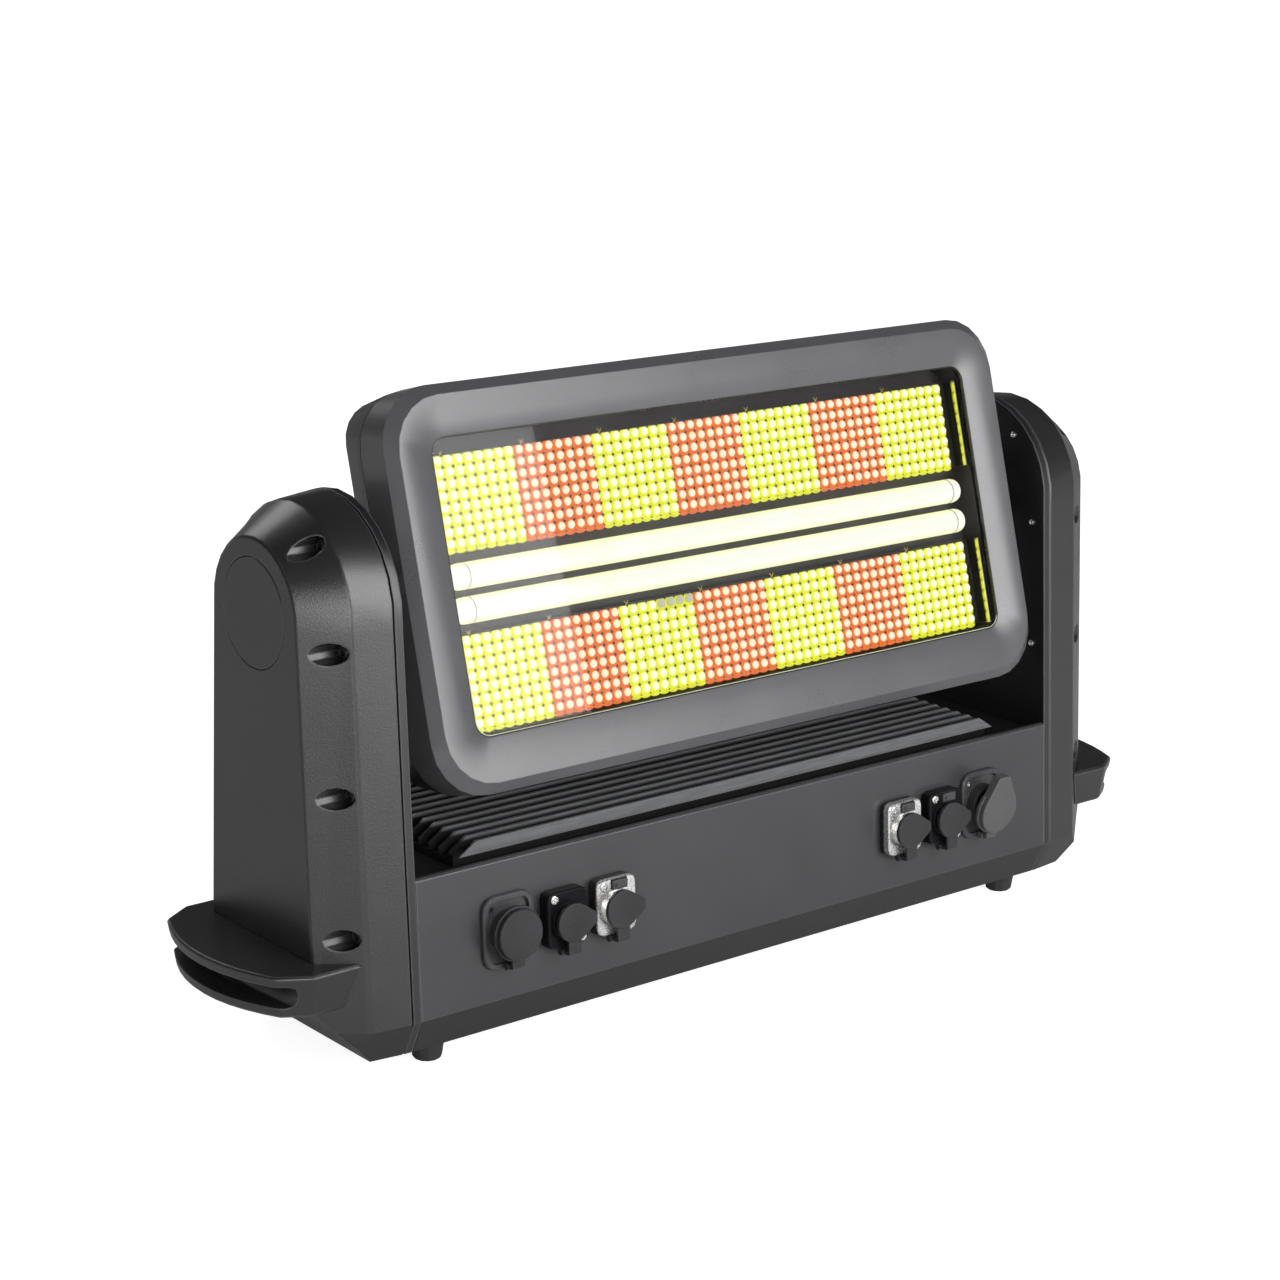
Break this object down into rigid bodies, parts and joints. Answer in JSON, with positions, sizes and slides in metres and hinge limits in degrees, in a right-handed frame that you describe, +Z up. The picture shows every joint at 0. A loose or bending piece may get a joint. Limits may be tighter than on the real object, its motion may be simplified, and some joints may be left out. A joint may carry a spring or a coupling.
{
  "type": "moving head strobe light",
  "caption": "Long finned base between two tapered arms that carry a tilting head with two LED fields and two tube lights.",
  "frame": {"origin": "centre of the bounding box in plan, on the surface that the feet stand on", "axes": "+X along the fixture's length to its right seen from the front, +Y from the front panel to the back, +Z up"},
  "size_m": [0.6338, 0.1625, 0.3455],
  "materials": {
    "arm_black": "textured black",
    "bare_aluminium": "plain",
    "bezel_grey": "satin grey",
    "cap_rubber": "matt",
    "circuit_green": "semi-matt",
    "deck_black": "matt black",
    "display_glass": "gloss",
    "fin_grey": "dark anodised",
    "foot_rubber": "matt",
    "housing_grey": "satin dark grey paint",
    "key_plastic": "semi-matt",
    "led_board": "yellow LED field",
    "socket_black": "matt",
    "socket_nickel": "satin nickel",
    "steel": "machined",
    "tube_white": "frosted white",
    "window_glass": "clear"
  },
  "bodies": {
    "base": {"base_housing": "housing_grey", "bottom_plate": "deck_black", "top_deck": "deck_black", "heat_sink": "fin_grey", "rubber_foot_front_left": "foot_rubber", "rubber_foot_front_right": "foot_rubber", "rubber_foot_rear_left": "foot_rubber", "rubber_foot_rear_right": "foot_rubber", "power_supply": "bare_aluminium", "control_board": "circuit_green", "control_panel": "deck_black", "display_window": "display_glass", "arm_plate_left": "deck_black", "arm_plate_right": "deck_black", "arm_cover_left": "arm_black", "arm_cover_right": "arm_black", "arm_cap_left": "arm_black", "arm_cap_right": "arm_black", "handle_left": "arm_black", "handle_right": "arm_black", "shaft_bearing_left": "steel", "shaft_bearing_right": "steel", "tilt_motor": "steel", "drive_belt": "cap_rubber", "power_in_socket": "socket_black", "dmx_in_socket": "socket_black", "network_in_socket": "socket_nickel", "network_out_socket": "socket_nickel", "dmx_out_socket": "socket_black", "power_out_socket": "socket_black"},
    "head": {"head_bezel": "bezel_grey", "front_glass": "window_glass", "led_backplate": "deck_black", "led_board_upper": "led_board", "led_board_lower": "led_board", "tube_light_upper": "tube_white", "tube_light_lower": "tube_white", "head_rear_shell": "arm_black", "head_heat_sink": "bare_aluminium", "head_fan_frame_left": "socket_black", "head_fan_frame_right": "socket_black", "tilt_shaft_left": "steel", "tilt_shaft_right": "steel", "tilt_pulley": "bare_aluminium"},
    "motor_pulley": {"motor_pulley": "bare_aluminium"},
    "power_in_cap": {"power_in_cap": "cap_rubber"},
    "dmx_in_cap": {"dmx_in_cap": "cap_rubber"},
    "network_in_cap": {"network_in_cap": "cap_rubber"},
    "network_out_cap": {"network_out_cap": "cap_rubber"},
    "dmx_out_cap": {"dmx_out_cap": "cap_rubber"},
    "power_out_cap": {"power_out_cap": "cap_rubber"},
    "network_in_latch": {"network_in_latch": "key_plastic"},
    "network_out_latch": {"network_out_latch": "key_plastic"},
    "dmx_out_latch": {"dmx_out_latch": "key_plastic"},
    "menu_button": {"menu_button": "key_plastic"},
    "up_button": {"up_button": "key_plastic"},
    "down_button": {"down_button": "key_plastic"},
    "enter_button": {"enter_button": "key_plastic"},
    "fan_rotor_left": {"head_fan_rotor_left": "socket_black"},
    "fan_rotor_right": {"head_fan_rotor_right": "socket_black"}
  },
  "joints": [
    {"name": "head_tilt", "type": "hinge", "parent": "base", "child": "head", "pos_m": [0, 0.00704, 0.2385], "axis": [1, 0, 0], "range_deg": [-184.6, 35.4]},
    {"name": "motor_spin", "type": "hinge", "parent": "base", "child": "motor_pulley", "pos_m": [0, 0.00704, 0.064], "axis": [1, 0, 0], "range_deg": [-553.8, 106.2]},
    {"name": "power_in_cap_hinge", "type": "hinge", "parent": "base", "child": "power_in_cap", "pos_m": [-0.1728, -0.06694, 0.04935], "axis": [1, 0, 0], "range_deg": [0, 110]},
    {"name": "dmx_in_cap_hinge", "type": "hinge", "parent": "base", "child": "dmx_in_cap", "pos_m": [-0.1381, -0.06743, 0.04958], "axis": [1, 0, 0], "range_deg": [0, 110]},
    {"name": "network_in_cap_hinge", "type": "hinge", "parent": "base", "child": "network_in_cap", "pos_m": [-0.1056, -0.06743, 0.04958], "axis": [1, 0, 0], "range_deg": [0, 110]},
    {"name": "network_out_cap_hinge", "type": "hinge", "parent": "base", "child": "network_out_cap", "pos_m": [0.1056, -0.06743, 0.04958], "axis": [1, 0, 0], "range_deg": [0, 110]},
    {"name": "dmx_out_cap_hinge", "type": "hinge", "parent": "base", "child": "dmx_out_cap", "pos_m": [0.1381, -0.06743, 0.04958], "axis": [1, 0, 0], "range_deg": [0, 110]},
    {"name": "power_out_cap_hinge", "type": "hinge", "parent": "base", "child": "power_out_cap", "pos_m": [0.1728, -0.06694, 0.04935], "axis": [1, 0, 0], "range_deg": [-12, 98]},
    {"name": "network_in_latch_press", "type": "slide", "parent": "base", "child": "network_in_latch", "axis": [0, 0.9981, -0.0621], "range_m": [0, 0.0015], "stiffness_N_per_m": 250},
    {"name": "network_out_latch_press", "type": "slide", "parent": "base", "child": "network_out_latch", "axis": [0, 0.9981, -0.0621], "range_m": [0, 0.0015], "stiffness_N_per_m": 250},
    {"name": "dmx_out_latch_press", "type": "slide", "parent": "base", "child": "dmx_out_latch", "axis": [0, 0.9981, -0.0621], "range_m": [0, 0.0015], "stiffness_N_per_m": 250},
    {"name": "menu_button_press", "type": "slide", "parent": "base", "child": "menu_button", "axis": [0, -0.9981, -0.0621], "range_m": [0, 0.001], "stiffness_N_per_m": 250},
    {"name": "up_button_press", "type": "slide", "parent": "base", "child": "up_button", "axis": [0, -0.9981, -0.0621], "range_m": [0, 0.001], "stiffness_N_per_m": 250},
    {"name": "down_button_press", "type": "slide", "parent": "base", "child": "down_button", "axis": [0, -0.9981, -0.0621], "range_m": [0, 0.001], "stiffness_N_per_m": 250},
    {"name": "enter_button_press", "type": "slide", "parent": "base", "child": "enter_button", "axis": [0, -0.9981, -0.0621], "range_m": [0, 0.001], "stiffness_N_per_m": 250},
    {"name": "fan_spin_left", "type": "hinge", "parent": "head", "child": "fan_rotor_left", "pos_m": [-0.095, 0.04675, 0.22186], "axis": [0, -0.9641, 0.2656], "continuous": true},
    {"name": "fan_spin_right", "type": "hinge", "parent": "head", "child": "fan_rotor_right", "pos_m": [0.095, 0.04675, 0.22186], "axis": [0, -0.9641, 0.2656], "continuous": true}
  ],
  "couplings": [
    {"joint": "motor_spin", "follows": "head_tilt", "ratio": 3}
  ]
}
